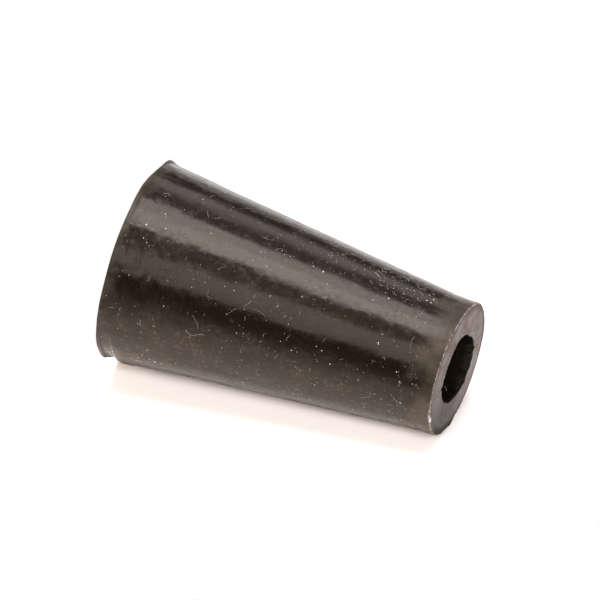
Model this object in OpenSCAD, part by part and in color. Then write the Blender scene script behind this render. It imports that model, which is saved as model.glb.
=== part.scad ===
// One-hole rubber stopper, size 00: a solid moulded taper with a bore for a glass tube.
// It stands on its wide face. +Z runs along the bore to the narrow end, in millimetres.

/* [Taper] */
// Diameter of the taper where it meets the wide face
wide_d = 14.9; // [13:0.1:18]
// Diameter of the taper where it meets the narrow face
narrow_d = 9.8; // [9:0.1:12.5]
// Length from the wide face to the narrow face
length = 25.1; // [18:0.1:40]
// Radius of the edge round the narrow face
tip_edge_r = 0.2; // [0.1:0.05:0.4]

/* [Bore] */
// Diameter of the bore that grips the tube
bore_d = 5; // [3:0.1:6]
// Radius of the rounding at both mouths of the bore
mouth_r = 0.5; // [0.35:0.05:0.7]

/* [Lip] */
// How far the moulded lip stands out past the taper
lip_out = 0.08; // [0.04:0.02:0.3]
// Height of the lip, whose outer edge is a half round
lip_h = 0.36; // [0.3:0.02:0.8]

/* [Gouge] */
// Angle of the straight gouge across the wall, just above the lip
gouge_angle = 52; // [0:1:359]
// Height of the gouge's middle above the wide face
gouge_z = 0.68; // [0.5:0.02:1.2]
// Depth of the gouge, in from the taper
gouge_bite = 0.28; // [0.1:0.02:0.36]
// Radius of the gouge's hollow section
gouge_r = 0.65; // [0.4:0.05:0.9]

/* [Chipped rim] */
// Angle round the narrow rim at which its chip is deepest
chip_angle = 94; // [0:1:359]
// Depth of the chip, in from the rim
chip_bite = 0.32; // [0.1:0.02:0.5]
// Radius of the chip's scooped face
chip_r = 0.8; // [0.6:0.1:1.2]
// Angle from the chip to the shallow scuff that it runs out in
scuff_angle = 11; // [6:1:16]
// Depth of the scuff, in from the rim
scuff_bite = 0.2; // [0.06:0.02:0.3]
// Radius of the scuff's scooped face
scuff_r = 2; // [1:0.1:3]

/* [Torn mouth] */
// Angles of the small tears in the rounding of the narrow mouth
tear_angles = [121, 144, 156, 172, 348]; // [0:1:359]
// How far each tear reaches out past the rounding
tear_reach = 0.25; // [0.05:0.05:0.3]
// Radius of the hollow that each tear leaves
tear_r = 0.8; // [0.6:0.1:1.2]
// Depth of each tear below the narrow face
tear_depth = 0.32; // [0.1:0.02:0.34]
// Angle round the mouth of the split that runs out towards the rim
split_angle = 170; // [0:1:359]
// Length of the split, past the rounding
split_length = 1.1; // [0.4:0.1:1.4]
// Width of the split where it leaves the mouth
split_w = 0.2; // [0.1:0.02:0.3]
// Depth of the split below the narrow face
split_depth = 0.3; // [0.1:0.05:0.35]

/* [Hidden] */
wide_r = wide_d / 2;
narrow_r = narrow_d / 2;
bore_r = bore_d / 2;
mouth_rim_r = bore_r + mouth_r;
taper_angle = atan((wide_r - narrow_r) / length);
// The narrow edge's rounding is centred where it touches both the wall and the face
tip_edge_x = taper_r(length - tip_edge_r) - tip_edge_r / cos(taper_angle);
edge_steps = 6;
// The lip's half round
lip_edge_r = lip_h / 2;
lip_edge_x = wide_r + lip_out - lip_edge_r;
// How far a cutting shape runs past what it cuts
over = 1;
$fn = 96;

// Radius of the taper at a height above the wide face
function taper_r(z) = wide_r - z * tan(taper_angle);

// Half the width of the cut that a circle makes when it sinks into a surface by some depth
function half_chord(r, depth) = sqrt(r ^ 2 - (r - depth) ^ 2);

// Points of the rounded narrow edge, from where it leaves the wall to where it meets the face
function tip_edge() = [
    for (a = [taper_angle:(90 - taper_angle) / edge_steps:90])
        [tip_edge_x + tip_edge_r * cos(a), length - tip_edge_r + tip_edge_r * sin(a)]
];

// Half section of the taper, which rises out of the middle of the lip
module taper_section() {
    polygon(concat(
        [[0, lip_edge_r], [taper_r(lip_edge_r), lip_edge_r]],
        tip_edge(),
        [[0, length]]
    ));
}

// Half section of the thin lip round the wide face
module lip_section() {
    square([lip_edge_x, lip_h]);
    translate([lip_edge_x, lip_edge_r])
        circle(r = lip_edge_r);
}

// Half section of what a bore mouth loses to its rounding, below a face at z = 0
module mouth_section() {
    difference() {
        translate([0, -mouth_r])
            square([mouth_rim_r, mouth_r + over]);
        translate([mouth_rim_r, -mouth_r])
            circle(r = mouth_r);
    }
}

// Half section of the bore with its two rounded mouths
module bore_section() {
    translate([0, -over])
        square([bore_r, length + 2 * over]);
    translate([0, length])
        mouth_section();
    mirror([0, 1])
        mouth_section();
}

// Half section of the whole moulding
module moulded_section() {
    difference() {
        union() {
            taper_section();
            lip_section();
        }
        bore_section();
    }
}

// The straight gouge that runs across the wall above the lip
module gouge() {
    rotate(gouge_angle)
        translate([taper_r(gouge_z) - gouge_bite + gouge_r, 0, gouge_z])
            rotate([90, 0, 0])
                cylinder(r = gouge_r, h = wide_r, center = true);
}

// A scoop out of the narrow rim, as deep as bite at the given angle
module rim_scoop(angle, bite, scoop_r) {
    rotate(angle)
        translate([narrow_r - bite + scoop_r, 0, length])
            sphere(r = scoop_r);
}

// The chip in the narrow rim and the scuff that it runs out in
module chipped_rim() {
    rim_scoop(chip_angle, chip_bite, chip_r);
    rim_scoop(chip_angle + scuff_angle, scuff_bite, scuff_r);
}

// Small tears in the rounding of the narrow mouth
module torn_mouth() {
    tear_x = mouth_rim_r + tear_reach - half_chord(tear_r, tear_depth);
    for (angle = tear_angles)
        rotate(angle)
            translate([tear_x, 0, length + tear_r - tear_depth])
                sphere(r = tear_r);
}

// The split that runs out from the narrow mouth and closes to a point
module split() {
    rotate(split_angle)
        translate([bore_r, 0, length - split_depth])
            linear_extrude(split_depth + over)
                polygon([
                    [0, -split_w / 2],
                    [mouth_r + split_length, 0],
                    [0, split_w / 2]
                ]);
}

module stopper() {
    color([0.25, 0.23, 0.21])
        difference() {
            rotate_extrude()
                moulded_section();
            gouge();
            chipped_rim();
            torn_mouth();
            split();
        }
}

stopper();
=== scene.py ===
"""Looks of a one-hole rubber stopper, size 00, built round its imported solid.

The frame stands the stopper on its wide face with +Z along the bore. Lengths in this
file are millimetres unless a name says otherwise, and MM turns them into metres. Angles
round the axis are polar: degrees from +X towards +Y.
"""

import functools
import logging
import math
from dataclasses import dataclass, field
from enum import Enum

import bpy
import numpy as np
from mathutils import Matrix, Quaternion, Vector

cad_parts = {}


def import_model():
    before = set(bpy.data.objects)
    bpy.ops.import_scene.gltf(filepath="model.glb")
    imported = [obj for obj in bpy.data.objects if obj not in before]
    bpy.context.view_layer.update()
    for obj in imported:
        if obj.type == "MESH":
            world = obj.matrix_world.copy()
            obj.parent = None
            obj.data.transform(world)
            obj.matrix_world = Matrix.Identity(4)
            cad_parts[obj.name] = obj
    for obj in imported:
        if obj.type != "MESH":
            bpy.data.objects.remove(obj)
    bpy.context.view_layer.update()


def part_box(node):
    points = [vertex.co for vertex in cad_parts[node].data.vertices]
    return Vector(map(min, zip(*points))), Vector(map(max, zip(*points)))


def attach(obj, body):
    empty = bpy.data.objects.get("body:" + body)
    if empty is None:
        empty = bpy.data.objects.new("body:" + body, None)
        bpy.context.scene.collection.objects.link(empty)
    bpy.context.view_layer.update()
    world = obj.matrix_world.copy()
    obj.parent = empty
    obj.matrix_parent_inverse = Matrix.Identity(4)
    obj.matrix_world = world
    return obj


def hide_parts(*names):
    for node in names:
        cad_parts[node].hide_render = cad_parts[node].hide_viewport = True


MM = 0.001
LOG = logging.getLogger("stopper")

Array = np.ndarray
Colour = tuple[float, float, float]
Pair = tuple[float, float]
Path = tuple[Pair, ...]
Socket = bpy.types.NodeSocket


# ---- helpers


def direction(polar_deg: float, rise_deg: float = 0.0) -> Vector:
    """Unit vector at a polar angle and a rise above the XY plane, both in degrees."""
    polar, rise = math.radians(polar_deg), math.radians(rise_deg)
    return Vector((math.cos(polar) * math.cos(rise), math.sin(polar) * math.cos(rise), math.sin(rise)))


def smooth_step(x: Array, low: float, high: float) -> Array:
    """Rises from 0 at low to 1 at high along the cubic 3t^2 - 2t^3, for low above high too."""
    t = np.clip((x - low) / (high - low), 0.0, 1.0)
    return t * t * (3.0 - 2.0 * t)


def bell(x: Array, centre: float, width: float) -> Array:
    """Gaussian bump of height 1 at centre that has fallen to 1/e at one width away."""
    return np.exp(-(((x - centre) / width) ** 2))


def turn_between(angle: Array, centre: float) -> Array:
    """Signed angle from centre to angle, in degrees, wrapped into -180..180."""
    return (angle - centre + 180.0) % 360.0 - 180.0


def round_axis(radius: Array, polar: Array, z: Array) -> Array:
    """Positions, shape (..., 3), at some radii, angles in degrees and heights."""
    a = np.radians(polar)
    return np.stack(np.broadcast_arrays(radius * np.cos(a), radius * np.sin(a), z), axis=-1)


@dataclass(frozen=True)
class Hump:
    """A bell round the axis, times a bell along it if it has a width in z."""

    polar_deg: float
    width_deg: float
    height: float = 1.0
    z: float = 0.0
    width_z: float = math.inf

    def at(self, polar: Array, z: Array | float = 0.0) -> Array:
        """Height of the hump at some angles in degrees, and at some heights if it has a width in z."""
        around = self.height * bell(turn_between(polar, self.polar_deg), 0.0, self.width_deg)
        return around * bell(z, self.z, self.width_z)


@dataclass(frozen=True)
class Waves:
    """Seeded unevenness: a sum of plane waves through space, so that no surface shows a seam.

    Each wave is cos(2 pi * (position . heading) / length + phase), with the position's
    height first multiplied by squeeze_z.
    """

    seed: int
    count: int
    shortest: float
    longest: float
    squeeze_z: float = 1.0
    size: float = 1.0

    def at(self, points: Array) -> Array:
        """Value of the unevenness, which spreads by about its size.

        Args:
            points: Positions in millimetres, shape (..., 3).

        Returns:
            An array of shape (...).
        """
        rng = np.random.default_rng(self.seed)
        heading = rng.normal(size=(3, self.count))
        heading /= np.linalg.norm(heading, axis=0)
        lengths = np.exp(rng.uniform(math.log(self.shortest), math.log(self.longest), self.count))
        phases = rng.uniform(0.0, 2.0 * math.pi, self.count)
        squeezed = points * np.array([1.0, 1.0, self.squeeze_z])
        waves = np.cos(2.0 * math.pi * squeezed @ (heading / lengths) + phases)
        return self.size * waves.sum(axis=-1) * math.sqrt(2.0 / self.count)


def linked(name: str, data: bpy.types.ID) -> bpy.types.Object:
    """Makes an object at the origin and links it to the scene.

    Args:
        name: The object's name.
        data: What it shows.

    Returns:
        The new object.
    """
    thing = bpy.data.objects.new(name, data)
    bpy.context.scene.collection.objects.link(thing)
    return thing


def mesh_object(name: str, points: Array, faces: Array, smooth: bool = True) -> bpy.types.Object:
    """Makes an object at the origin from points in millimetres.

    Args:
        name: The piece's name.
        points: Array of shape (n, 3).
        faces: Array of corner indices, shape (m, 3) or (m, 4).
        smooth: Whether the faces are shaded smooth.

    Returns:
        The new object, linked to the scene.
    """
    mesh = bpy.data.meshes.new(name)
    sides = faces.shape[1]
    mesh.vertices.add(len(points))
    mesh.vertices.foreach_set("co", (points * MM).astype(np.float32).ravel())
    mesh.loops.add(faces.size)
    mesh.loops.foreach_set("vertex_index", faces.astype(np.int32).ravel())
    mesh.polygons.add(len(faces))
    mesh.polygons.foreach_set("loop_start", np.arange(0, faces.size, sides, dtype=np.int32))
    mesh.polygons.foreach_set("use_smooth", np.full(len(faces), smooth))
    mesh.update()
    mesh.validate()
    return linked(name, mesh)


def panel(name: str, centre: Vector, across: Vector, up: Vector, facing: Vector) -> bpy.types.Object:
    """Makes a flat card with four corners.

    Args:
        name: The card's name.
        centre: Its middle, in millimetres.
        across: Half its width, as a vector.
        up: Half its height, as a vector.
        facing: The direction that its front faces.

    Returns:
        The card.
    """
    corners = [list(centre + across * i + up * j) for i, j in ((-1, -1), (1, -1), (1, 1), (-1, 1))]
    card = mesh_object(name, np.array(corners), np.array([[0, 1, 2, 3]]), smooth=False)
    if card.data.polygons[0].normal.dot(facing) < 0.0:
        card.data.flip_normals()
    return card


def point_attribute(thing: bpy.types.Object, name: str, values: Array) -> None:
    """Stores one number per point on a mesh, for its material to read."""
    layer = thing.data.attributes.new(name, "FLOAT", "POINT")
    layer.data.foreach_set("value", values.astype(np.float32).ravel())


class Tree:
    """Short way to write a material's or world's nodes."""

    def __init__(self, owner: bpy.types.Material | bpy.types.World) -> None:
        """Clears the owner's node tree and keeps it.

        Args:
            owner: The material or world.
        """
        owner.use_nodes = True
        self.tree = owner.node_tree
        self.tree.nodes.clear()

    def add(self, kind: str, **settings: object) -> bpy.types.Node:
        """Adds a node.

        Args:
            kind: The node's type without its ShaderNode prefix.
            **settings: Node properties, and sockets as in_NAME or in_NUMBER values or links.

        Returns:
            The new node.
        """
        node = self.tree.nodes.new("ShaderNode" + kind)
        for key, value in settings.items():
            if not key.startswith("in_"):
                setattr(node, key, value)
        for key, value in settings.items():
            if key.startswith("in_"):
                self.put(node, key[3:].replace("_", " "), value)
        return node

    def put(self, node: bpy.types.Node, socket: str, value: object) -> None:
        """Links or sets an input of a node.

        Args:
            node: The node.
            socket: The input's name or number.
            value: An output of another node, or a plain value.
        """
        target = node.inputs[int(socket)] if socket.isdigit() else node.inputs[socket]
        if isinstance(value, Socket):
            self.tree.links.new(value, target)
        else:
            target.default_value = value

    def maths(self, operation: str, *terms: object, clamp: bool = False) -> Socket:
        """Adds a Math node.

        Args:
            operation: What it does.
            *terms: Its inputs in order.
            clamp: Whether the result is kept within 0 and 1.

        Returns:
            Its output.
        """
        node = self.add("Math", operation=operation, use_clamp=clamp)
        for number, term in enumerate(terms):
            self.put(node, str(number), term)
        return node.outputs[0]

    def plus(self, *terms: object) -> Socket:
        """Sum of two or more terms."""
        return functools.reduce(lambda first, second: self.maths("ADD", first, second), terms)

    def times(self, *terms: object) -> Socket:
        """Product of two or more terms."""
        return functools.reduce(lambda first, second: self.maths("MULTIPLY", first, second), terms)

    def ramp(self, value: object, low: float, high: float, to_low: float = 0.0,
             to_high: float = 1.0) -> Socket:
        """Smooth ramp of a value from to_low at low to to_high at high."""
        return self.add("MapRange", interpolation_type="SMOOTHSTEP", in_0=value, in_1=low, in_2=high,
                        in_3=to_low, in_4=to_high).outputs[0]

    def mix(self, factor: object, first: object, second: object) -> Socket:
        """Colour mix from first at factor 0 to second at factor 1."""
        return self.add("MixRGB", in_0=factor, in_1=first, in_2=second).outputs[0]

    def noise(self, vector: object, scale: float, detail: float, rough: float) -> Socket:
        """Fractal noise, about 0.5 on average, of a position in millimetres."""
        node = self.add("TexNoise", in_Vector=vector, in_Scale=scale, in_Detail=detail, in_Roughness=rough)
        return node.outputs["Fac"]


def rgba(colour: Colour) -> tuple[float, float, float, float]:
    """The colour with full alpha, as a socket takes it."""
    return (*colour, 1.0)


# ---- finishes


@dataclass(frozen=True)
class Pattern:
    """Fractal noise of a scale per millimetre; with edges it rises smoothly from floor to 1 between them."""

    scale: float
    detail: float
    rough: float
    edges: Pair | None = None
    floor: float = 0.0

    def on(self, t: Tree, place: Socket) -> Socket:
        """The pattern at a position in millimetres."""
        noise = t.noise(place, self.scale, self.detail, self.rough)
        return noise if self.edges is None else t.ramp(noise, *self.edges, self.floor)


@dataclass(frozen=True)
class RubberFinish:
    """Satin moulded black rubber: hazed by dust, rubbed dull at both ends and pale along its narrow
    rim, where the pale line is partly worn rubber and partly a painted highlight.

    A share says how much of a mark or film shows, and a height or depth is in millimetres.
    """

    body: Colour = (0.0042, 0.0026, 0.0014)
    dust: Colour = (0.455, 0.365, 0.288)
    # Pale colour of the narrow rim's line: partly worn rubber, partly a painted highlight and glint.
    edge: Colour = (0.85, 0.82, 0.78)
    face: Colour = (0.074, 0.034, 0.018)
    face_mottling: float = 0.3
    refraction: float = 1.25
    specular_tint: Colour = (1.0, 0.87, 0.76)

    blotch: Pattern = Pattern(0.8, 4.0, 0.62, (0.34, 0.70))
    grain: Pattern = Pattern(9.0, 3.0, 0.6)
    dimples: Pattern = Pattern(2.4, 3.0, 0.55)
    patches: Pattern = Pattern(2.4, 3.0, 0.7, (0.40, 0.66))
    powder: Pattern = Pattern(3.6, 4.0, 0.70, (0.46, 0.74))
    pits: Pattern = Pattern(5.0, 1.0, 0.4, (0.66, 0.76))
    streaks: Pattern = Pattern(1.0, 3.0, 0.6, (0.52, 0.74))
    scratches: Pattern = Pattern(1.0, 3.0, 0.6, (0.60, 0.76))
    broken_line: Pattern = Pattern(2.6, 3.0, 0.7, (0.40, 0.62), 0.15)
    streaks_round: tuple[float, float, float] = (1.3, 1.3, 8.0)
    scratches_along: tuple[float, float, float] = (7.0, 7.0, 0.8)

    powder_share: float = 1.2
    scratch_share: float = 0.8
    streak_share: float = 0.6
    wiped_share: float = 1.4
    patch_share: float = 0.5
    even_share: float = 0.25
    unblotched: float = 0.35
    blotch_share: float = 1.2
    haze_share: float = 0.024
    worn_share: float = 0.045
    under_share: float = 0.100

    roughness: float = 0.15
    worn_roughness: float = 0.36
    dull_roughness: float = 0.24
    grain_roughness: float = 0.08
    patch_roughness: float = 0.16
    torn_roughness: float = 0.4
    face_roughness: float = 0.06
    face_blotch_roughness: float = 0.18
    edge_roughness: float = 0.2

    grain_height: float = 0.0034
    streak_height: float = 0.0012
    wiped_height: float = 9.0
    pit_depth: float = 0.010
    dimple_height: float = 0.0150
    relief: float = 0.5
    face_smooth: float = 0.85
    torn_smooth: float = 0.9

    def material(self) -> bpy.types.Material:
        """Builds the node tree on Object coordinates in millimetres and the piece's attributes.

        The attributes are haze (how dusty), worn (how dull), torn (freshly broken), one for the pale
        line along the narrow rim (partly worn rubber and partly a painted highlight, with a painted
        glint beside it), face (the flat ends, darker towards polar 50), wiped (where pale marks run
        round the wall), under (an even film low on the wall) and dull (rough, lower still).

        Returns:
            The material.
        """
        material = bpy.data.materials.new("black_rubber")
        t = Tree(material)
        place = t.add("TexCoord").outputs["Object"]
        at, round_it, along_it = (
            t.add("Mapping", in_Vector=place, in_Scale=tuple(c / MM for c in scale)).outputs[0]
            for scale in ((1.0, 1.0, 1.0), self.streaks_round, self.scratches_along))
        names = ("haze", "worn", "torn", "edge", "face", "wiped", "under", "dull")
        haze, worn, torn, edge, face, wiped, under, dull = (
            t.add("Attribute", attribute_name=name).outputs["Fac"] for name in names)
        blotch, grain, dimples, patches, powder, pits, broken_line = (
            pattern.on(t, at) for pattern in (
                self.blotch, self.grain, self.dimples, self.patches, self.powder, self.pits,
                self.broken_line))
        streaks, scratches = self.streaks.on(t, round_it), self.scratches.on(t, along_it)

        film = t.plus(
            t.times(powder, self.powder_share),
            t.times(scratches, self.scratch_share),
            t.times(streaks, t.plus(self.streak_share, t.times(wiped, self.wiped_share))),
            t.times(patches, self.patch_share))
        film = t.times(film, t.plus(self.unblotched, t.times(blotch, self.blotch_share)))
        film = t.plus(
            t.times(t.plus(film, self.even_share), t.times(haze, self.haze_share)),
            t.times(worn, t.times(t.plus(self.unblotched, blotch), self.worn_share)),
            t.times(under, self.under_share))
        dark, light = (rgba(tuple(share * c for c in self.face))
                       for share in (1.0 - self.face_mottling, 1.0 + self.face_mottling))
        base = t.mix(face, rgba(self.body), t.mix(blotch, dark, light))
        base = t.mix(film, base, rgba(self.dust))
        # Mixes in the pale rim line, a painted highlight on partly worn rubber, broken up by noise.
        base = t.mix(t.times(edge, broken_line), base, rgba(self.edge))

        flat = t.times(face, t.plus(self.face_roughness, t.times(blotch, self.face_blotch_roughness)))
        rough = t.plus(
            self.roughness,
            t.times(t.maths("SUBTRACT", grain, 0.5), self.grain_roughness),
            t.times(blotch, patches, self.patch_roughness),
            t.times(dull, self.dull_roughness),
            t.times(worn, self.worn_roughness - self.roughness),
            t.maths("MAXIMUM", t.times(torn, self.torn_roughness), flat))
        rough = t.maths("ADD", rough, t.times(edge, self.edge_roughness), clamp=True)

        height = t.plus(
            t.times(grain, self.grain_height),
            t.times(streaks, t.plus(1.0, t.times(wiped, self.wiped_height)), self.streak_height),
            t.times(dimples, self.dimple_height))
        height = t.maths("SUBTRACT", height, t.times(pits, self.pit_depth))
        smooth = t.maths("MAXIMUM", t.times(face, self.face_smooth), t.times(torn, self.torn_smooth))
        height = t.times(height, t.maths("SUBTRACT", 1.0, smooth))
        bump = t.add("Bump", in_Strength=self.relief, in_Distance=MM, in_Height=height)
        shader = t.add("BsdfPrincipled", in_Base_Color=base, in_Roughness=rough,
                       in_IOR=self.refraction, in_Specular_Tint=rgba(self.specular_tint),
                       in_Normal=bump.outputs[0])
        t.add("OutputMaterial", in_Surface=shader.outputs[0])
        return material


@dataclass(frozen=True)
class FluffFinish:
    """One plain matt colour, for lint, dust and black flags."""

    name: str
    colour: Colour
    roughness: float = 0.8

    def material(self) -> bpy.types.Material:
        """Builds a plain matt material.

        Returns:
            The material.
        """
        material = bpy.data.materials.new(self.name)
        t = Tree(material)
        shader = t.add("BsdfPrincipled", in_Base_Color=rgba(self.colour), in_Roughness=self.roughness)
        t.add("OutputMaterial", in_Surface=shader.outputs[0])
        return material


@dataclass(frozen=True)
class CardFinish:
    """White card that shows only from its front and fades away past both ends of the part.

    Each end has the height where it starts to fade, the height where that ends, and how
    much of it is gone by then.
    """

    colour: Colour = (0.80, 0.80, 0.80)
    wide_end: tuple[float, float, float] = (-0.5, -2.4, 1.0)
    narrow_end: tuple[float, float, float] = (24.4, 26.4, 0.5)

    def material(self) -> bpy.types.Material:
        """Builds the one-sided card.

        Returns:
            The material.
        """
        material = bpy.data.materials.new("white_card")
        t = Tree(material)
        front = t.add("BsdfDiffuse", in_Color=rgba(self.colour))
        back = t.add("BsdfTransparent")
        place = t.add("SeparateXYZ", in_Vector=t.add("TexCoord").outputs["Object"])
        gone = t.add("NewGeometry").outputs["Backfacing"]
        for start, end, share in (self.wide_end, self.narrow_end):
            gone = t.maths("MAXIMUM", gone, t.ramp(place.outputs["Z"], start * MM, end * MM, 0.0, share))
        both = t.add("MixShader", in_0=gone, in_1=front.outputs[0], in_2=back.outputs[0])
        t.add("OutputMaterial", in_Surface=both.outputs[0])
        return material


# ---- the stopper


class Zone(Enum):
    """Stretches of the stopper's closed section, in the order that it runs through them."""

    WIDE_MOUTH = 0
    WIDE_FACE = 1
    LIP = 2
    WALL = 3
    TIP_EDGE = 4
    NARROW_FACE = 5
    NARROW_MOUTH = 6
    BORE = 7


@dataclass(frozen=True)
class Grid:
    """The moulding's points before wear: their positions, angles in degrees, heights and zones."""

    points: Array
    polar: Array
    z: Array
    zone: Array

    @property
    def radius(self) -> Array:
        """Distance of each point from the axis."""
        return np.hypot(self.points[:, 0], self.points[:, 1])

    def on(self, *zones: Zone) -> Array:
        """Whether each point lies in one of some zones."""
        return np.isin(self.zone, [zone.value for zone in zones])


@dataclass(frozen=True)
class Cut:
    """A ball or a tangential rod that takes a hollow out of the moulding.

    A point inside it moves along the push direction until it leaves the ball or rod, so
    the hollow has that ball's or rod's own surface, roughened where the rubber tore.
    """

    polar_deg: float
    out: float
    height: float
    radius: float
    push: Pair
    rod: bool = False
    rough: float = 0.0
    seed: int = 1

    def apply(self, points: Array) -> tuple[Array, Array]:
        """Pushes the points that lie inside the hollow onto its surface.

        Args:
            points: Positions in millimetres, shape (n, 3).

        Returns:
            The moved positions, and how far each one moved.
        """
        outward = np.array(direction(self.polar_deg))
        across = np.array([-outward[1], outward[0], 0.0])
        push = (outward * self.push[0] + np.array([0.0, 0.0, self.push[1]])) / math.hypot(*self.push)
        offset = points - outward * self.out - np.array([0.0, 0.0, self.height])
        if self.rod:
            offset = offset - np.outer(offset @ across, across)
        along = offset @ push
        aside = (offset**2).sum(axis=1) - along**2
        reach = np.sqrt(np.maximum(self.radius**2 - aside, 0.0)) - along
        inside = ((offset**2).sum(axis=1) < self.radius**2) & (points @ outward > 0.0)
        reach = np.where(inside, reach, 0.0)
        uneven = Waves(self.seed, 20, 0.12, 0.7).at(points) * self.rough
        reach = reach * (1.0 + uneven * smooth_step(reach, 0.0, 0.1))
        return points + reach[:, None] * push, reach


@dataclass
class Stopper:
    """The moulding: a taper with a lip and a bore, and what is gouged, chipped and torn out of it.

    A pair says where a form acts. Its name ends in deg for angles, z for heights, h for
    depths below the narrow face or r for radii, and it holds the middle and width of a bell
    or the two ends of a soft step, from where it is 0 to where it is 1. The split's pairs
    are such ends too, as shares of its length and of its half width.
    """

    length: float
    lip_outer_r: float
    wide_r: float = 7.45
    narrow_r: float = 4.9
    bore_r: float = 2.5
    mouth_r: float = 0.5
    tip_edge_r: float = 0.10
    lip_h: float = 0.36
    lip_fade_z: Pair = (0.6, 0.15)
    lip_edge_r: float = 0.10
    lip_raise: Hump = Hump(-127, 11, 0.15)
    lip_raise_z: Pair = (0.15, 0.04)
    lip_thin_z: Pair = (0.05, 0.18)
    lip_flat: Hump = Hump(-42, 50, 0.8)

    gouge_deg: float = 52.0
    gouge_z: float = 0.62
    gouge_bite: float = 0.38
    gouge_r: float = 0.65
    gouge_rough: float = 0.1
    sunk: Hump = Hump(46, 24, 0.16)
    sunk_z: Pair = (1.17, 0.95)
    sunk_past_deg: Pair = (37.0, 50.0)
    sunk_past_z: Pair = (0.24, 0.38)
    sunk_waves: Waves = Waves(6, 40, 0.25, 0.8, size=0.018)
    sunk_waves_z: Pair = (0.2, 0.6)
    bulge: Hump = Hump(46, 16, 0.12, 1.65, 0.7)
    ridge: Hump = Hump(46, 14, 1, 2.4, 2.2)

    chip_deg: float = 94.0
    chip_bite: float = 0.09
    chip_r: float = 0.8
    scuff_deg: float = 105.0
    scuff_bite: float = 0.09
    scuff_r: float = 2.0
    scoop_rough: float = 0.12
    burr_start_deg: Pair = (78.5, 83.5)
    burr_end_deg: Pair = (88.8, 87.2)
    burr_out: float = 0.15
    burr_h: float = 0.4
    dip: Hump = Hump(72, 7, 0.07)
    tip_flare: Hump = Hump(122, 34, 0.09)
    tip_flare_h: Pair = (1.2, 0.1)
    tip_waves: Waves = Waves(5, 24, 0.5, 1.8, size=0.014)
    tip_waves_h: float = 0.35
    broken: Hump = Hump(95, 14)
    broken_waves: Waves = Waves(14, 40, 0.18, 0.6, size=0.055)

    outside_r: Pair = (4.0, 4.6)
    long_waves: Waves = Waves(3, 24, 2.0, 7.0, 0.45, 0.0062)
    short_waves: Waves = Waves(4, 48, 0.55, 1.9, size=0.0036)
    short_least: float = 0.90
    short_wide_z: Pair = (0.5, 1.1)
    short_narrow: float = 0.8
    short_narrow_h: Pair = (0.5, 1.2)
    ripple_waves: Waves = Waves(9, 48, 0.9, 3.0, 3.0, 0.0100)
    ripple_patch: Hump = Hump(-42, 26, 1, 3, 2.8)
    ripple_least: float = 0.06
    face_waves: Waves = Waves(7, 24, 0.8, 3.0, size=0.004)
    face_domes: tuple[Hump, ...] = (Hump(-45, 55, 0.004), Hump(135, 38, 0.0016))
    face_domes_h: Pair = (0.8, 0.0)
    rim_waves: tuple[Hump, ...] = (
        Hump(-89, 13, -0.08), Hump(-110, 10, 0.06), Hump(-31, 16, 0.065), Hump(17, 12, -0.05))
    rim_waves_z: Pair = (0.7, 0.0)
    rim_waves_r: Pair = (6.4, 7.3)

    tear_degs: tuple[float, ...] = (121.0, 144.0, 156.0, 172.0, 348.0)
    tear_width: float = 5.0
    tear_reach: float = 0.20
    mouth_depth: float = 4.0
    mouth_edge_r: float = 0.08
    mouth_long_deg: float = 135.0
    mouth_least: float = 0.15
    mouth_steep: float = 1.3
    mouth_tight: Hump = Hump(80, 24, 0.8)
    mouth_waves: Waves = Waves(10, 60, 0.10, 0.6, size=0.032)
    ragged_h: Pair = (0.35, 0.1)
    face_give: float = 0.9
    split_deg: float = 170.0
    split_length: float = 1.1
    split_w: float = 0.14
    split_depth: float = 0.3
    split_wander: tuple[tuple[float, float, float], ...] = ((0.05, 7.0, 0.0), (0.02, 19.0, 1.0))
    split_opens: Pair = (0.15, 0.4)
    split_closes: Pair = (1.0, 0.5)
    split_v: Pair = (0.0, 0.7)

    wall_breaks: tuple[float, ...] = (1.2, 7.0, 22.6)
    wall_rows: tuple[int, ...] = (24, 46, 52, 20)
    columns: int = 440
    torn_by: float = 0.04
    finish: RubberFinish = field(default_factory=RubberFinish)

    @property
    def slope(self) -> float:
        """How much the wall's radius falls for each millimetre of height."""
        return (self.wide_r - self.narrow_r) / self.length

    def wall_r(self, z: Array) -> Array:
        """Radius of the wall: the straight taper plus the lip, which fades out in a soft step."""
        lip = (self.lip_outer_r - self.wide_r) * smooth_step(z, *self.lip_fade_z)
        return self.wide_r - self.slope * z + lip

    def off_wall(self, z: Array, polar: Array, lift: Array) -> tuple[Array, Array]:
        """Points that stand off the wall by a lift, and the directions out of it.

        Args:
            z: Heights.
            polar: Angles in degrees.
            lift: Distances off the wall.

        Returns:
            Positions and unit vectors, each of shape (..., 3).
        """
        out = round_axis(1.0, polar, self.slope)
        out /= np.linalg.norm(out, axis=-1, keepdims=True)
        return round_axis(self.wall_r(z), polar, z) + out * lift[..., None], out

    def section(self) -> tuple[Array, Array, Array]:
        """The closed section as radii, heights and zones.

        A point of an arc is its centre plus radius times (cos, sin), and a point of a line is
        its start plus a share of its run.

        Returns:
            Three arrays of one length.
        """
        quarter = math.pi / 2
        rim_r = self.bore_r + self.mouth_r
        lip_r = self.lip_edge_r
        lip_x = self.lip_outer_r - self.slope * lip_r - lip_r
        taper = math.atan(self.slope)
        edge_z = self.length - self.tip_edge_r
        edge_x = self.wide_r - self.slope * edge_z - self.tip_edge_r / math.cos(taper)

        def arc(cx: float, cz: float, radius: float, start: float, end: float, steps: int) -> Array:
            """Radii and heights along an arc, without its last point."""
            a = np.linspace(start, end, steps, endpoint=False)
            return np.stack([cx + radius * np.cos(a), cz + radius * np.sin(a)])

        def line(x0: float, z0: float, x1: float, z1: float, share: Array) -> Array:
            """Radii and heights at some shares of the way along a straight line."""
            return np.stack([x0 + (x1 - x0) * share, z0 + (z1 - z0) * share])

        def even(steps: int) -> Array:
            """Even shares from 0 up to 1, without the 1."""
            return np.linspace(0.0, 1.0, steps, endpoint=False)

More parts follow.
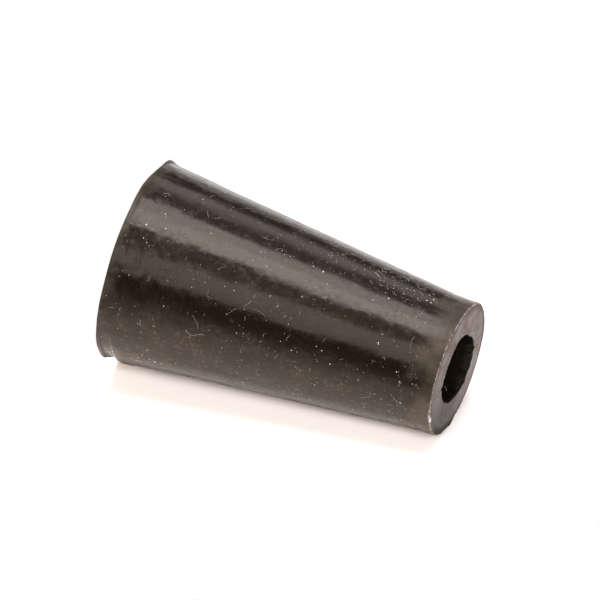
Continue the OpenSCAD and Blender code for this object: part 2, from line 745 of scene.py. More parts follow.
        soft, bore_top = self.mouth_edge_r, self.length - self.mouth_depth
        wall_ends = (lip_r, *self.wall_breaks, edge_z + self.tip_edge_r * math.sin(taper))
        wall_z = np.concatenate([
            np.linspace(start, end, steps, endpoint=False)
            for start, end, steps in zip(wall_ends, wall_ends[1:], self.wall_rows)])
        parts = {
            Zone.WIDE_MOUTH: arc(rim_r, self.mouth_r, self.mouth_r, 2 * quarter, 3 * quarter, 7),
            Zone.WIDE_FACE: line(rim_r, 0.0, lip_x, 0.0, even(9)),
            Zone.LIP: arc(lip_x, lip_r, lip_r, -quarter, 0.0, 5),
            Zone.WALL: np.stack([self.wall_r(wall_z), wall_z]),
            Zone.TIP_EDGE: arc(edge_x, edge_z, self.tip_edge_r, taper, quarter, 7),
            Zone.NARROW_FACE: line(edge_x, self.length, rim_r, self.length, even(26)),
            Zone.NARROW_MOUTH: np.hstack([
                arc(rim_r, self.length - soft, soft, quarter, 2 * quarter, 6),
                line(rim_r - soft, self.length - soft, self.bore_r, bore_top, even(10) ** 2)]),
            Zone.BORE: line(self.bore_r, bore_top, self.bore_r, self.mouth_r, even(12)),
        }
        radius, height = np.hstack(list(parts.values()))
        zone = np.concatenate([np.full(part.shape[1], z.value) for z, part in parts.items()])
        return radius, height, zone

    def cuts(self) -> list[Cut]:
        """The hollows that are taken out of the wall and the narrow rim.

        Returns:
            The gouge above the lip, the chip in the rim and the scuff beside it.
        """
        wall = self.wide_r - self.slope * self.gouge_z
        return [
            Cut(self.gouge_deg, wall - self.gouge_bite + self.gouge_r, self.gouge_z, self.gouge_r,
                (-1.0, 0.0), rod=True, rough=self.gouge_rough, seed=11),
            Cut(self.chip_deg, self.narrow_r - self.chip_bite + self.chip_r, self.length, self.chip_r,
                (-1.0, -1.0), rough=self.scoop_rough, seed=12),
            Cut(self.scuff_deg, self.narrow_r - self.scuff_bite + self.scuff_r, self.length, self.scuff_r,
                (-1.0, -1.0), rough=self.scoop_rough, seed=13),
        ]

    def split(self, points: Array) -> tuple[Array, Array]:
        """Opens the split that runs out from the narrow mouth and closes to a point.

        Its floor is a V across the split, deepest at the mouth, and its line wanders a little.

        Args:
            points: Positions in millimetres, shape (n, 3).

        Returns:
            The moved positions, and how far each one moved.
        """
        outward = np.array(direction(self.split_deg))
        across = np.array([-outward[1], outward[0], 0.0])
        run = self.mouth_r + self.split_length
        along = (points @ outward - self.bore_r) / run
        wander = sum(by * np.sin(along * turns + start) for by, turns, start in self.split_wander)
        half = self.split_w / 2 * np.clip(1.0 - along, 0.0, 1.0) + 1e-6
        share = 1.0 - np.abs(points @ across - wander) / half
        near = (along > 0.0) & (along < 1.0) & (points[:, 2] > self.length - 2.0 * self.split_depth)
        depth = self.split_depth * smooth_step(share, *self.split_v) * smooth_step(along, *self.split_closes)
        depth = np.where(near, depth * smooth_step(along, *self.split_opens), 0.0)
        moved = points.copy()
        moved[:, 2] -= depth
        return moved, depth

    def uneven(self, grid: Grid) -> Array:
        """Moves the outer surface by the small waves that a hand-finished mould leaves.

        Long shallow waves run over the whole wall. Shorter ones gather near the wide end on
        one side and at both rims, and they make the reflections break up there. The lip is
        rubbed flat on one side, and thinned where it is raised. Over the gouge the wall is
        crushed in, with a bulge above. The narrow rim flares out, apart from one side,
        with a dip and a burr, and it is jagged where it broke. The wide rim rises and dips by
        a few bells round the axis, and the narrow face is a little domed.

        Args:
            grid: The moulding's points.

        Returns:
            The moved positions.
        """
        points, polar, z, radius = grid.points, grid.polar, grid.z, grid.radius
        below_top = self.length - z
        outside = grid.on(Zone.LIP, Zone.WALL, Zone.TIP_EDGE, Zone.WIDE_FACE, Zone.NARROW_FACE)
        outside = outside * smooth_step(radius, *self.outside_r)

        patch = self.ripple_least + self.ripple_patch.at(polar, z)
        rims = self.short_least + bell(z, *self.short_wide_z)
        rims = rims + self.short_narrow * bell(below_top, *self.short_narrow_h)
        wall = self.long_waves.at(points) + self.short_waves.at(points) * rims
        wall = wall + self.ripple_waves.at(points) * patch

        raised = self.lip_raise.at(polar)
        thinned = raised / self.lip_raise.height * smooth_step(z, *self.lip_thin_z)
        lip = (self.wall_r(z) - self.wide_r + self.slope * z) * np.maximum(self.lip_flat.at(polar), thinned)
        lip = raised * smooth_step(z, *self.lip_raise_z) - lip

        past = np.maximum(smooth_step(polar, *self.sunk_past_deg), smooth_step(z, *self.sunk_past_z))
        sunk = self.sunk.at(polar) * smooth_step(z, *self.sunk_z) * past
        ragged = np.maximum(sunk / self.sunk.height, self.ridge.at(polar, z))
        ragged = self.sunk_waves.at(points) * ragged * smooth_step(z, *self.sunk_waves_z)
        crushed = ragged + self.bulge.at(polar, z) - sunk

        rim = self.tip_waves.at(points) + self.broken_waves.at(points) * self.broken.at(polar)
        burr = smooth_step(polar, *self.burr_start_deg) * smooth_step(polar, *self.burr_end_deg)
        burr = self.burr_out * burr - self.dip.at(polar)
        flare = self.tip_flare.height - self.tip_flare.at(polar)
        tip = (rim * bell(below_top, 0.0, self.tip_waves_h) + burr * bell(below_top, 0.0, self.burr_h)
               + flare * smooth_step(below_top, *self.tip_flare_h))

        moved = points + round_axis((wall + lip + crushed + tip) * outside, polar, 0.0)
        near_rim = smooth_step(z, *self.rim_waves_z) * smooth_step(radius, *self.rim_waves_r)
        moved[:, 2] += sum(hump.at(polar) for hump in self.rim_waves) * near_rim
        dome = sum(hump.at(polar) for hump in self.face_domes) * smooth_step(below_top, *self.face_domes_h)
        dome = dome * np.maximum(radius**2 - (self.bore_r + self.mouth_r) ** 2, 0.0)
        moved[:, 2] += grid.on(Zone.NARROW_FACE) * self.face_waves.at(points) - dome
        return moved

    def tear_mouth(self, points: Array, grid: Grid) -> tuple[Array, Array]:
        """Makes the narrow mouth as oval and notched as wear has left it.

        The mouth's outer end keeps its radius along one line across the face and closes in
        towards the bore across it, by the cosine of the angle between. A notch is a bell
        round the axis that moves the outer end out, while the inner end stays on the bore.

        Args:
            points: Positions in millimetres, shape (n, 3).
            grid: The same points before wear.

        Returns:
            The moved positions, and how torn each one is, 0 to 1.
        """
        torn = sum(Hump(centre, self.tear_width).at(grid.polar) for centre in self.tear_degs)
        torn = np.minimum(torn, 1.0)
        open_by = np.abs(np.cos(np.radians(grid.polar - self.mouth_long_deg)))
        open_by = np.clip(self.mouth_steep * open_by, self.mouth_least, 1.0)
        open_by = open_by * (1.0 - self.mouth_tight.at(grid.polar))
        ragged = torn * self.tear_reach + self.mouth_waves.at(points)
        ragged = ragged * smooth_step(self.length - points[:, 2], *self.ragged_h)
        reach = ragged - self.mouth_r * (1.0 - open_by)
        radius = np.hypot(points[:, 0], points[:, 1])
        far_r = self.bore_r + self.mouth_r + self.face_give
        inner = np.clip((radius - self.bore_r) / self.mouth_r, 0.0, 1.0) * grid.on(Zone.NARROW_MOUTH)
        outer = np.clip((far_r - radius) / self.face_give, 0.0, 1.0) * grid.on(Zone.NARROW_FACE)
        share = np.maximum(inner, outer)
        out = points[:, :2] / np.maximum(radius, 1e-6)[:, None]
        moved = points.copy()
        moved[:, :2] += out * (reach * share)[:, None]
        return moved, torn * inner

    def build(self) -> bpy.types.Object:
        """Turns the section round the axis, breaks what is broken and dresses it.

        Returns:
            The finished piece.
        """
        radius, height, zone = self.section()
        rows, columns = len(radius), self.columns
        turns = np.linspace(0.0, 360.0, columns, endpoint=False)
        r, polar = (a.ravel() for a in np.meshgrid(radius, turns, indexing="ij"))
        z, zone = np.repeat(height, columns), np.repeat(zone, columns)
        grid = Grid(round_axis(r, polar, z), polar, z, zone)
        row, column = np.meshgrid(np.arange(rows), np.arange(columns), indexing="ij")
        down, along = (row + 1) % rows, (column + 1) % columns
        faces = np.stack([row * columns + column, row * columns + along,
                          down * columns + along, down * columns + column], axis=-1).reshape(-1, 4)
        points, torn = self.uneven(grid), np.zeros(len(z))
        for cut in self.cuts():
            points, moved = cut.apply(points)
            torn = np.maximum(torn, smooth_step(moved, 0.0, self.torn_by))
        points, ripped = self.tear_mouth(points, grid)
        points, moved = self.split(points)
        torn = np.maximum(np.maximum(torn, ripped), smooth_step(moved, 0.0, self.torn_by))
        piece = mesh_object("stopper_moulding", points, faces)
        for name, values in Wear(self).attributes(grid, torn).items():
            point_attribute(piece, name, values)
        piece.data.materials.append(self.finish.material())
        LOG.info("%s: %d rows by %d columns", piece.name, rows, columns)
        return piece


@dataclass
class Wear:
    """Where the moulding is dusty, worn and torn, and where its narrow rim is painted pale as a highlight.

    Pairs are named as in Stopper. The pale line runs along the narrow rim, at an angle round
    its rounding that is in radians; it is partly worn rubber and partly a painted highlight,
    and the painted glint is a pale spot beside it.
    """

    stopper: Stopper
    outer_r: Pair = (4.2, 4.7)
    flat_r: Pair = (2.9, 3.1)
    even_haze: float = 0.5
    haze_humps: tuple[Hump, ...] = (
        Hump(12, 32, 1.15), Hump(-62, 14, 0.35), Hump(-87, 6, -0.30), Hump(-30, 8, -0.62))
    gouge_haze: Hump = Hump(42, 20, 2.6, 1.2, 2.6)
    face_haze: Hump = Hump(160, 24, 3)
    haze_range: Pair = (0.1, 3.4)
    haze_from_r: float = 3.2
    wander: Waves = Waves(8, 30, 1.0, 4.0)
    wander_haze: Pair = (0.85, 0.2)
    wander_wide: float = 0.3
    wander_narrow: float = 0.35
    wide_worn: float = 0.8
    wide_worn_z: Pair = (0.95, 0.1)
    narrow_worn: float = 0.85
    narrow_worn_z: Pair = (22.9, 24.4)
    # A pale line round the narrow rim and a pale spot beside it: a painted highlight and a painted glint,
    # partly worn rubber.
    line_at: float = 0.9
    line_width: float = 0.42
    line_wider: Hump = Hump(4, 5, 0.35)
    line_gap: Hump = Hump(105, 62, 0.42)
    line_bright: Hump = Hump(8, 12, 0.60)
    nick: Hump = Hump(12, 3.6)
    nick_r: Pair = (4.56, 4.74)
    nick_h: Pair = (0.06, 0.01)
    wiped: Hump = Hump(-40, 22, 1, 3, 2.6)
    under: Hump = Hump(27, 9)
    under_front: Hump = Hump(11, 23, 0.40)
    under_from_deg: Pair = (-30.0, -17.0)
    dull_from_deg: Pair = (26.0, 38.0)
    dull_to_deg: Pair = (110.0, 80.0)
    # Side towards polar 50, where the narrow face is made rougher and its colour darker.
    scuffed: Hump = Hump(50, 60)
    torn_rim: Hump = Hump(95, 40)
    torn_rim_r: Pair = (4.3, 4.7)
    torn_inside: float = 0.5
    torn_low: float = 0.6
    face_torn: float = 0.7
    face_low: Pair = (1.1, 0.9)

    def attributes(self, grid: Grid, torn: Array) -> dict[str, Array]:
        """What the rubber's material reads at each point.

        Args:
            grid: The moulding's points.
            torn: How far each point lies on a broken surface, 0 to 1.

        Returns:
            One array for each attribute's name.
        """
        whole, polar, z, radius = self.stopper, grid.polar, grid.z, grid.radius
        outer = smooth_step(radius, *self.outer_r)
        wander = self.wander.at(grid.points)
        on_face, on_edge = grid.on(Zone.NARROW_FACE), grid.on(Zone.TIP_EDGE)

        even, uneven = self.wander_haze
        haze = (self.even_haze + sum(hump.at(polar) for hump in self.haze_humps)) * (even + uneven * wander)
        haze = haze + self.gouge_haze.at(polar, z) + self.face_haze.at(polar) * on_face
        from_z, to_z = self.wide_worn_z
        wide = self.wide_worn * smooth_step(z, from_z + self.wander_wide * wander, to_z)
        narrow = self.narrow_worn * smooth_step(z + self.wander_narrow * wander, *self.narrow_worn_z)

        # Painted highlight: a pale line round the narrow rim's rounding, wider and brighter on one side and
        # fading away towards polar 105, and a painted glint spot.
        edge_z, edge_r = (end - whole.tip_edge_r for end in (whole.length, whole.narrow_r))
        line = bell(np.arctan2(z - edge_z, radius - edge_r), self.line_at,
                    self.line_width + self.line_wider.at(polar)) * on_edge
        line = line * (self.line_gap.height - self.line_gap.at(polar) + self.line_bright.at(polar))
        nick = np.maximum(on_face * smooth_step(radius, *self.nick_r),
                          on_edge * smooth_step(whole.length - z, *self.nick_h)) * self.nick.at(polar)

        inside = grid.on(Zone.NARROW_MOUTH, Zone.BORE, Zone.WIDE_MOUTH)
        low = self.scuffed.at(polar)
        rim = (on_face | on_edge) * smooth_step(radius, *self.torn_rim_r) * self.torn_rim.at(polar)
        torn = np.maximum.reduce([torn, rim, self.torn_inside * inside, self.torn_low * on_face * low])
        # The flat faces' colour is kept darker towards polar 50.
        flat = grid.on(Zone.NARROW_FACE, Zone.WIDE_FACE) * smooth_step(radius, *self.flat_r)
        flat = flat * (1.0 - self.face_torn * torn) * (self.face_low[0] - self.face_low[1] * low)
        front = self.under_front.at(polar) * smooth_step(polar, *self.under_from_deg)
        return {
            "haze": np.clip(haze, *self.haze_range) * (radius > self.haze_from_r),
            "worn": np.clip(np.maximum(wide, narrow) * outer, 0.0, 1.0),
            "torn": torn,
            "edge": np.maximum(line, nick),
            "face": flat,
            "wiped": self.wiped.at(polar, z) * outer,
            "under": np.maximum(self.under.at(polar), front) * outer,
            "dull": smooth_step(polar, *self.dull_from_deg) * smooth_step(polar, *self.dull_to_deg) * outer,
        }


# ---- lint and dust


def tubes(name: str, paths: Array, outward: Array, radius: Array, sides: int = 3) -> bpy.types.Object:
    """Thin closed tubes carried along many paths at once.

    Each ring is the path point plus radius times (cos a * side + sin a * up), where side is
    the path's heading crossed with the outward direction; both ends are capped.

    Args:
        name: The piece's name.
        paths: Array of shape (fibres, steps, 3), in millimetres.
        outward: Unit vectors away from the surface, of the same shape.
        radius: Array of shape (fibres, steps).
        sides: Corners of a ring.

    Returns:
        The piece.
    """
    fibres, steps = paths.shape[:2]
    heading = np.gradient(paths, axis=1)
    heading /= np.linalg.norm(heading, axis=2, keepdims=True)
    side = np.cross(heading, outward)
    side /= np.linalg.norm(side, axis=2, keepdims=True)
    up = np.cross(side, heading)
    a = np.arange(sides) * 2.0 * math.pi / sides
    ring = np.cos(a)[:, None] * side[:, :, None, :] + np.sin(a)[:, None] * up[:, :, None, :]
    points = paths[:, :, None, :] + ring * radius[:, :, None, None]
    start = np.arange(fibres)[:, None] * steps * sides
    ring_start = start[:, :, None] + np.arange(steps - 1)[:, None] * sides
    corner, after = np.arange(sides), (np.arange(sides) + 1) % sides
    quads = np.stack([ring_start + corner, ring_start + after,
                      ring_start + sides + after, ring_start + sides + corner], axis=-1).reshape(-1, 4)
    first, last = start + corner[::-1], start + (steps - 1) * sides + corner
    faces = np.concatenate([quads[:, [0, 1, 2]], quads[:, [0, 2, 3]], first, last])
    return mesh_object(name, points.reshape(-1, 3), faces)


@dataclass
class Lint:
    """Fibres that cling to the part: a few at known places and many more scattered all round.

    A path's knots are heights and angles on the wall, or radii and angles on the narrow
    face. Faint paths are thinner than placed ones. The first scattered fibres gather round
    one place, given as a middle and a spread.
    """

    stopper: Stopper
    faint: tuple[Path, ...] = (
        ((7.6, -55), (7.8, -57), (8.1, -59)),
        ((7.3, -44), (7.6, -41), (7.4, -38), (7.8, -37), (8.5, -39)),
        ((22.6, -47), (22.5, -52), (22.5, -57), (22.6, -59)),
        ((10.9, -39), (11.4, -39.5), (11.9, -38), (12.2, -34)),
        ((9.2, -30), (9.6, -34), (9.9, -37)),
        ((9.3, -35), (9.8, -33)),
    )
    placed: tuple[Path, ...] = (
        ((6.8, -24), (7.1, -22), (7.4, -19), (7.5, -15)),
        ((6.6, -13), (6.9, -10), (7.2, -10), (7.6, -13), (8.1, -13)),
        ((5.0, -92), (5.1, -89), (5.3, -87), (5.4, -84)),
        ((5.7, -86), (5.9, -88), (6.2, -90)),
        ((9.3, -90), (9.5, -88), (9.8, -90), (9.9, -92)),
        ((1.6, -88), (1.6, -90), (1.9, -91), (2.1, -90)),
        ((10.2, -38), (10.6, -42), (10.7, -45)),
        ((22.0, -71), (22.1, -75), (22.3, -78), (22.4, -81)),
        ((20.8, -71), (20.8, -75)),
        ((18.7, -73), (18.9, -76)),
        ((22.2, -5), (22.7, 0)),
        ((19.7, 5), (20.1, 4), (20.6, 0)),
        ((13.3, -10), (13.5, -14)),
        ((9.6, -88), (10.1, -89)),
        ((15.5, -111), (15.8, -112)),
        ((17.8, -100), (18.1, -99), (18.4, -97)),
        ((21.2, -102), (21.8, -98)),
        ((23.5, 2), (23.8, 3), (24.2, 4)),
        ((1.0, 8), (1.1, 11), (1.2, 12)),
    )
    on_face: tuple[Path, ...] = (
        ((2.64, 40), (2.99, 47), (3.43, 38)),
        ((3.44, 47), (3.85, 63), (4.02, 72), (4.44, 80)),
        ((2.65, -12), (2.15, -2), (1.95, 11), (2.19, 7)),
    )
    scattered: int = 640
    seed: int = 43
    steps: int = 16
    rounding: int = 5
    gathered: int = 110
    gather_z: Pair = (18.0, 4.0)
    gather_deg: Pair = (-106.0, 11.0)
    clear_ends: Pair = (0.5, 0.8)
    run_median: float = 0.30
    run_spread: float = 0.45
    bend: float = 1.5
    sway: float = 0.7
    sway_turns: float = 1.3
    kink: float = 0.03
    kink_turn: float = 11.0
    kink_deg: float = 5.0
    scattered_r: Pair = (0.004, 0.011)
    placed_r: float = 0.012
    placed_shares: Pair = (0.6, 1.1)
    faint_share: float = 0.55
    end_thinning: float = 0.6
    hop: float = 0.03
    hops: Pair = (0.5, 2.0)
    finish: FluffFinish = FluffFinish("lint", (0.272, 0.254, 0.237))

    def curled(self, rng: np.random.Generator) -> tuple[Array, Array]:
        """Heights and angles of scattered fibres, each curling as it goes.

        The first ones gather normally round one place, and the rest lie anywhere. A fibre's
        heading is its start heading plus a bend that grows along it plus a sine.

        Args:
            rng: The seeded source of chance.

        Returns:
            Two arrays of shape (fibres, steps).
        """
        n, some, s = self.scattered, self.gathered, np.linspace(0.0, 1.0, self.steps)
        low, high = self.clear_ends[0], self.stopper.length - self.clear_ends[1]
        z0 = rng.uniform(low, high, n)
        polar0 = rng.uniform(-180.0, 180.0, n)
        z0[:some] = np.clip(rng.normal(*self.gather_z, some), low, high)
        polar0[:some] = rng.normal(*self.gather_deg, some)
        run = np.exp(rng.normal(math.log(self.run_median), self.run_spread, n))[:, None] / self.steps
        start, bend = rng.uniform(-math.pi, math.pi, n)[:, None], rng.normal(0.0, self.bend, n)[:, None]
        sway, phase = rng.normal(0.0, self.sway, n)[:, None], rng.random(n)[:, None]
        heading = start + bend * s + sway * np.sin(2.0 * math.pi * (s * self.sway_turns + phase))
        z = np.clip(z0[:, None] + np.cumsum(np.cos(heading), axis=1) * run, 0.2, self.stopper.length - 0.2)
        around = np.cumsum(np.sin(heading), axis=1) * run
        return z, polar0[:, None] + np.degrees(around / self.stopper.wall_r(z0)[:, None])

    def rounded(self, knots: Path) -> tuple[Array, Array]:
        """Both coordinates of a path through some knots, its corners rounded.

        Each rounding pass replaces an inner step by a quarter of both neighbours and half of
        itself.

        Args:
            knots: Pairs of coordinates.

        Returns:
            Two arrays of one number per step.
        """
        path = np.array(knots)
        s, t = np.linspace(0.0, 1.0, self.steps), np.linspace(0.0, 1.0, len(path))
        run = np.stack([np.interp(s, t, path[:, 0]), np.interp(s, t, path[:, 1])])
        for _ in range(self.rounding):
            run[:, 1:-1] = 0.25 * (run[:, :-2] + run[:, 2:]) + 0.5 * run[:, 1:-1]
        return run[0], run[1]

    def build(self) -> bpy.types.Object:
        """Lays every fibre on the wall or the narrow face as one piece.

        A known path on the wall gets a kink, a sine that is 0 at its start. A fibre stands
        off the wall in hops, the square of a sine, and it thins towards both ends.

        Returns:
            The piece.
        """
        rng = np.random.default_rng(self.seed)
        z, polar = self.curled(rng)
        s = np.linspace(0.0, 1.0, self.steps)
        paths = self.faint + self.placed
        for path in paths:
            kink = self.kink * np.sin(s * self.kink_turn + len(z)) * s * (1.2 - s)
            z_run, polar_run = self.rounded(path)
            z = np.vstack([z, z_run + kink])
            polar = np.vstack([polar, polar_run + self.kink_deg * kink])
        n = len(z)
        radius = rng.uniform(*self.scattered_r, n)
        radius[-len(paths):] = self.placed_r * rng.uniform(*self.placed_shares, len(paths))
        radius[-len(paths):-len(self.placed)] *= self.faint_share
        hop, hops = self.hop * rng.random(n)[:, None], rng.uniform(*self.hops, n)[:, None]
        lift = radius[:, None] + hop * np.sin(math.pi * s * hops) ** 2
        points, out = self.stopper.off_wall(z, polar, lift)
        r, polar = np.stack([self.rounded(path) for path in self.on_face], axis=1)
        flat = round_axis(r, polar, self.stopper.length)
        points = np.concatenate([points, flat])
        out = np.concatenate([out, np.broadcast_to([0.0, 0.0, 1.0], flat.shape)])
        radius = np.concatenate([radius, np.full(len(flat), self.placed_r)])
        n += len(flat)
        taper = 1.0 - self.end_thinning * np.abs(2.0 * s - 1.0) ** 3
        piece = tubes("lint", points, out, radius[:, None] * taper)
        piece.data.materials.append(self.finish.material())
        LOG.info("%s: %d fibres", piece.name, n)
        return piece


@dataclass
class Dust:
    """Pale specks that cling to the wall: a few big ones, and many thickest on its upper side.

    The odds that a speck stays are an even share plus the crowds. Placed ones are a height,
    an angle and a radius.
    """

    stopper: Stopper
    count: int = 4200
    seed: int = 57
    median_r: float = 0.018
    spread: float = 0.42
    largest_r: float = 0.050
    even_share: float = 0.20
    crowds: tuple[Hump, ...] = (
        Hump(-104, 26, 0.50, 17, 8), Hump(-104, 20, 0.6, 21, 2.6), Hump(15, 25, 0.15))
    clear_ends: float = 0.3
    lift_share: float = 0.3
    uneven: Pair = (0.6, 1.2)
    squash: tuple[float, float, float] = (1.3, 0.8, 0.6)
    finish: FluffFinish = FluffFinish("dust", (0.640, 0.600, 0.544))
    placed: tuple[tuple[float, float, float], ...] = (
        (1.6, -66, 0.060), (3.0, -68, 0.045), (6.1, -76, 0.055), (1.8, -58, 0.04), (2.3, 31, 0.05),
        (4.3, 23, 0.065), (3.8, 12, 0.05), (3.4, 18, 0.045), (0.4, 9, 0.04), (13.8, -82, 0.055),
        (14.6, -81, 0.05), (19.7, -81, 0.055), (14.0, -58, 0.045), (16.1, -28, 0.05), (22.8, -1, 0.055),
        (21.4, 0, 0.05), (22.5, -99, 0.055), (4.7, -24, 0.045), (20.9, -3, 0.04), (20.3, -45, 0.045),
        (12.6, -46, 0.04), (13.5, -24, 0.04), (14.4, -20, 0.04),
    )

    def build(self) -> bpy.types.Object:
        """Sets a squashed, uneven octahedron at each speck's place.

        Returns:
            The piece.
        """
        rng = np.random.default_rng(self.seed)
        z = rng.uniform(self.clear_ends, self.stopper.length - self.clear_ends, self.count)
        polar = rng.uniform(-180.0, 180.0, self.count)
        crowd = self.even_share + sum(hump.at(polar, z) for hump in self.crowds)
        keep = rng.random(self.count) < crowd
        z, polar = z[keep], polar[keep]
        size = np.minimum(np.exp(rng.normal(math.log(self.median_r), self.spread, len(z))), self.largest_r)
        placed = np.array(self.placed).T
        z, polar, size = (np.concatenate(both) for both in zip((z, polar, size), placed))
        n = len(z)
        centre, out = self.stopper.off_wall(z, polar, size * self.lift_share)
        side = np.cross(out, np.array([0.0, 0.0, 1.0]))
        side /= np.linalg.norm(side, axis=1, keepdims=True)
        up = np.cross(out, side)
        turn = rng.uniform(0.0, math.pi, n)[:, None]
        first = side * np.cos(turn) + up * np.sin(turn)
        second = np.cross(out, first)
        arms = np.stack([first, second, -first, -second, out, -out], axis=1)
        reach = size[:, None] * rng.uniform(*self.uneven, (n, 6)) * np.array(self.squash)[[0, 1, 0, 1, 2, 2]]
        points = centre[:, None, :] + arms * reach[:, :, None]
        upper = np.array([[0, 1, 4], [1, 2, 4], [2, 3, 4], [3, 0, 4]])
        lower = np.array([[1, 0, 5], [2, 1, 5], [3, 2, 5], [0, 3, 5]])
        corners = np.concatenate([upper, lower])
        faces = (np.arange(n) * 6)[:, None, None] + corners
        piece = mesh_object("dust", points.reshape(-1, 3), faces.reshape(-1, 3), smooth=False)
        piece.data.materials.append(self.finish.material())
        LOG.info("%s: %d specks", piece.name, n)
        return piece


# ---- studio


class Lights(Enum):
    """What a soft box lights."""

    ALL = "everything"
    DIFFUSE = "matt surfaces only, so that it makes no reflection"


@dataclass(frozen=True)
class SoftBox:
    """A soft box that stands round the part, its width given as an angle."""

    name: str
    polar_deg: float
    rise_deg: float
    spread_deg: float
    radiance: float
    lights: Lights = Lights.ALL
    colour: Colour = (1.08, 0.98, 0.90)
    distance: float = 600.0
    height: float = 300.0

    def build(self, aim: Vector) -> bpy.types.Object:
        """Makes an area lamp whose width spans the spread as seen from aim.

        Args:
            aim: The point that it faces, in metres.

        Returns:
            The lamp.
        """
        lamp = bpy.data.lights.new(self.name, "AREA")
        lamp.shape = "RECTANGLE"
        lamp.size = 2.0 * self.distance * math.tan(math.radians(self.spread_deg) / 2.0) * MM
        lamp.size_y = self.height * MM
        lamp.color = self.colour
        lamp.energy = self.radiance * math.pi * lamp.size * lamp.size_y
        thing = linked(self.name, lamp)
        back = direction(self.polar_deg, self.rise_deg)
        thing.location = aim + back * self.distance * MM
        thing.rotation_euler = back.to_track_quat("Z", "Y").to_euler()
        thing.visible_camera = False
        thing.visible_glossy = self.lights is Lights.ALL
        return thing


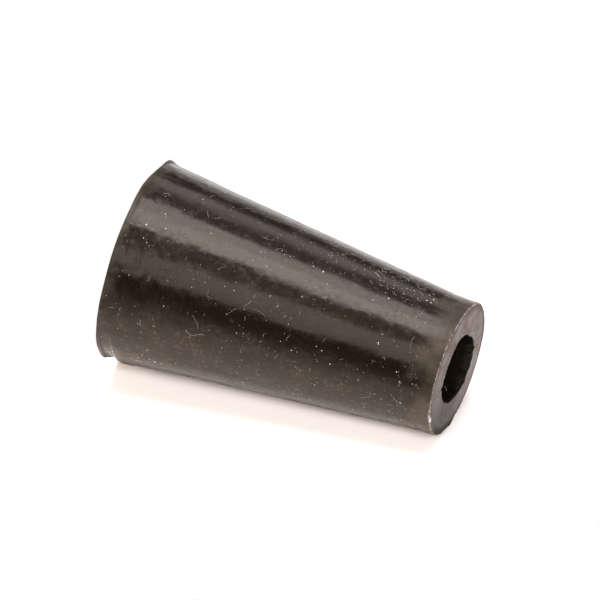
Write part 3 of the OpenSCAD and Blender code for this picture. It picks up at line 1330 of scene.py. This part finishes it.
@dataclass
class Studio:
    """Camera, card, black flags, soft boxes and room.

    A flag is the angle where it stands and its width as seen from the part. The card
    touches the lip at contact_polar_deg and stands off the narrow rim by burr_lift. In the
    room, near_table fades into far_table from near_rise up to the horizon, where the table
    blends into the room over horizon_blend times the sine of horizon_deg. It darkens
    towards the narrow end, between two angles off the axis.
    """

    contact_polar_deg: float = 84.5
    burr_lift: float = 0.18
    card_half: float = 26.0
    room: Colour = (0.37, 0.325, 0.28)
    near_table: Colour = (1.10, 1.03, 0.97)
    far_table: Colour = (1.50, 1.36, 1.25)
    dark: Colour = (0.03, 0.02, 0.015)
    flags: tuple[Pair, ...] = ((-18.0, 42.0), (-167.5, 12.0))
    flag_rise_deg: float = -8.0
    flag_distance: float = 700.0
    flag_height: float = 400.0
    near_rise: float = -0.42
    horizon_deg: float = 3.5
    horizon_blend: Pair = (-0.2, 1.8)
    dark_end_deg: Pair = (58.0, 38.0)
    lens_mm: float = 600.0
    sensor_mm: float = 36.0
    azimuth_deg: float = 45.0
    elevation_deg: float = 15.016
    roll_deg: float = 108.85
    camera_distance: float = 720.03
    aim: tuple[float, float, float] = (-0.75, -0.75, 12.36)
    boxes: tuple[SoftBox, ...] = (
        SoftBox("overhead_back", -108.0, -8.0, 18.0, 10.8, colour=(0.99, 0.985, 1.01)),
        SoftBox("overhead_front", -90.5, -8.0, 17.3, 15.4, colour=(0.98, 0.99, 1.02)),
        SoftBox("back_box", -145.5, -8.0, 17.0, 2.6, colour=(1.05, 0.985, 0.92)),
        SoftBox("front_box", -44.0, -8.0, 30.0, 4.6, colour=(1.00, 0.99, 0.96)),
        SoftBox("low_back_box", 164.0, -8.0, 18.0, 0.84, colour=(1.12, 0.98, 0.91)),
        SoftBox("fill_front", -54.0, 30.0, 14.0, 20.0, Lights.DIFFUSE, (1.01, 1.0, 1.0)),
        SoftBox("fill_wide_end", -38.0, -40.0, 14.0, 17.0, Lights.DIFFUSE, (1.29, 0.96, 0.79)),
        SoftBox("fill_back", -178.0, 0.0, 16.0, 19.0, Lights.DIFFUSE, (1.35, 0.84, 0.98)),
        SoftBox("fill_top", -75.0, 25.0, 20.0, 0.5, Lights.DIFFUSE, (0.90, 1.12, 0.60)),
    )

    def card_normal(self, stopper: Stopper) -> Vector:
        """The way that the card faces, lying against the lip and the burr on the narrow rim.

        Args:
            stopper: The moulding that lies on it.

        Returns:
            A unit vector out of the card.
        """
        run = stopper.length - stopper.lip_h / 2
        lean = math.degrees(math.atan((stopper.lip_outer_r - stopper.narrow_r - self.burr_lift) / run))
        return -direction(self.contact_polar_deg, lean)

    def card(self, stopper: Stopper) -> bpy.types.Object:
        """Square card that touches the lip along one generator.

        Args:
            stopper: The moulding that lies on it.

        Returns:
            The card.
        """
        normal = self.card_normal(stopper)
        touch = direction(self.contact_polar_deg) * stopper.lip_outer_r
        touch.z = stopper.lip_h / 2
        across = normal.cross(Vector((0, 0, 1))).normalized()
        up = normal.cross(across)
        centre = touch - up * up.dot(touch - Vector((0, 0, stopper.length / 2)))
        card = panel("card", centre, across * self.card_half, up * self.card_half, normal)
        card.data.materials.append(CardFinish().material())
        return card

    def flag(self, polar_deg: float, spread_deg: float, aim: Vector) -> bpy.types.Object:
        """Black card beside the part, past the soft boxes, which draws a dark band along the rubber.

        Args:
            polar_deg: The side that it stands on.
            spread_deg: Its width as seen from aim.
            aim: The point that it faces, in metres.

        Returns:
            The flag.
        """
        back = direction(polar_deg, self.flag_rise_deg)
        across = back.cross(Vector((0, 0, 1))).normalized()
        up = across.cross(back)
        half = self.flag_distance * math.tan(math.radians(spread_deg / 2.0))
        centre = aim / MM + back * self.flag_distance
        flag = panel("flag", centre, across * half, up * self.flag_height / 2.0, -back)
        flag.data.materials.append(FluffFinish("flag_black", self.dark).material())
        flag.visible_camera = False
        return flag

    def world(self, normal: Vector) -> None:
        """White for the camera, reflections and glass, and a dim room over a white table for matt surfaces.

        Args:
            normal: The table's normal, which splits the two halves of the room.
        """
        world = bpy.data.worlds.new("room")
        bpy.context.scene.world = world
        t = Tree(world)
        looking = t.add("TexCoord").outputs["Generated"]
        rise = t.add("VectorMath", operation="DOT_PRODUCT", in_0=looking, in_1=tuple(normal))
        low, high = (share * math.sin(math.radians(self.horizon_deg)) for share in self.horizon_blend)
        above = t.ramp(rise.outputs["Value"], low, high)
        table = t.ramp(rise.outputs["Value"], self.near_rise, 0.0)
        table = t.mix(table, rgba(self.near_table), rgba(self.far_table))
        room = t.mix(above, table, rgba(self.room))
        low, high = (math.cos(math.radians(off_axis)) for off_axis in self.dark_end_deg)
        end = t.ramp(t.add("SeparateXYZ", in_Vector=looking).outputs["Z"], low, high)
        room = t.mix(end, room, rgba(self.dark))
        light_path = t.add("LightPath").outputs
        seen = t.maths("MAXIMUM", light_path["Is Camera Ray"], light_path["Is Glossy Ray"])
        seen = t.maths("MAXIMUM", seen, light_path["Is Transmission Ray"])
        colour = t.mix(seen, room, (1.0, 1.0, 1.0, 1.0))
        background = t.add("Background", in_Color=colour)
        t.add("OutputWorld", in_Surface=background.outputs[0])

    def camera(self) -> bpy.types.Object:
        """Long-lens camera beside the narrow end, rolled so that the part lies down in its picture.

        Returns:
            The camera.
        """
        data = bpy.data.cameras.new("camera")
        data.lens = self.lens_mm
        data.sensor_width = self.sensor_mm
        data.clip_end = 10.0
        camera = linked("camera", data)
        back = direction(self.azimuth_deg - 90.0, self.elevation_deg)
        camera.location = (Vector(self.aim) + back * self.camera_distance) * MM
        turn = Quaternion(back, math.radians(self.roll_deg)) @ back.to_track_quat("Z", "Y")
        camera.rotation_euler = turn.to_euler()
        bpy.context.scene.camera = camera
        return camera

    def build(self, stopper: Stopper) -> None:
        """Sets up everything round the part.

        Args:
            stopper: The moulding.
        """
        self.camera()
        self.card(stopper)
        self.world(self.card_normal(stopper))
        middle = Vector((0, 0, stopper.length / 2)) * MM
        for polar_deg, spread_deg in self.flags:
            self.flag(polar_deg, spread_deg, middle)
        for box in self.boxes:
            box.build(middle)
        bpy.context.scene.view_settings.view_transform = "Standard"


def main() -> None:
    """Builds the looks round the frame, piece by piece."""
    logging.basicConfig(level=logging.INFO, format="%(name)s: %(message)s")
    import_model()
    low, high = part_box("stopper")
    stopper = Stopper(length=(high[2] - low[2]) / MM, lip_outer_r=high[0] / MM)
    moulding = stopper.build()
    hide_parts("stopper")
    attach(moulding, "root")
    for fluff in (Lint(stopper).build(), Dust(stopper).build()):
        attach(fluff, "root")
    Studio().build(stopper)
    LOG.info("sizes written")


if __name__ == "__main__":
    main()
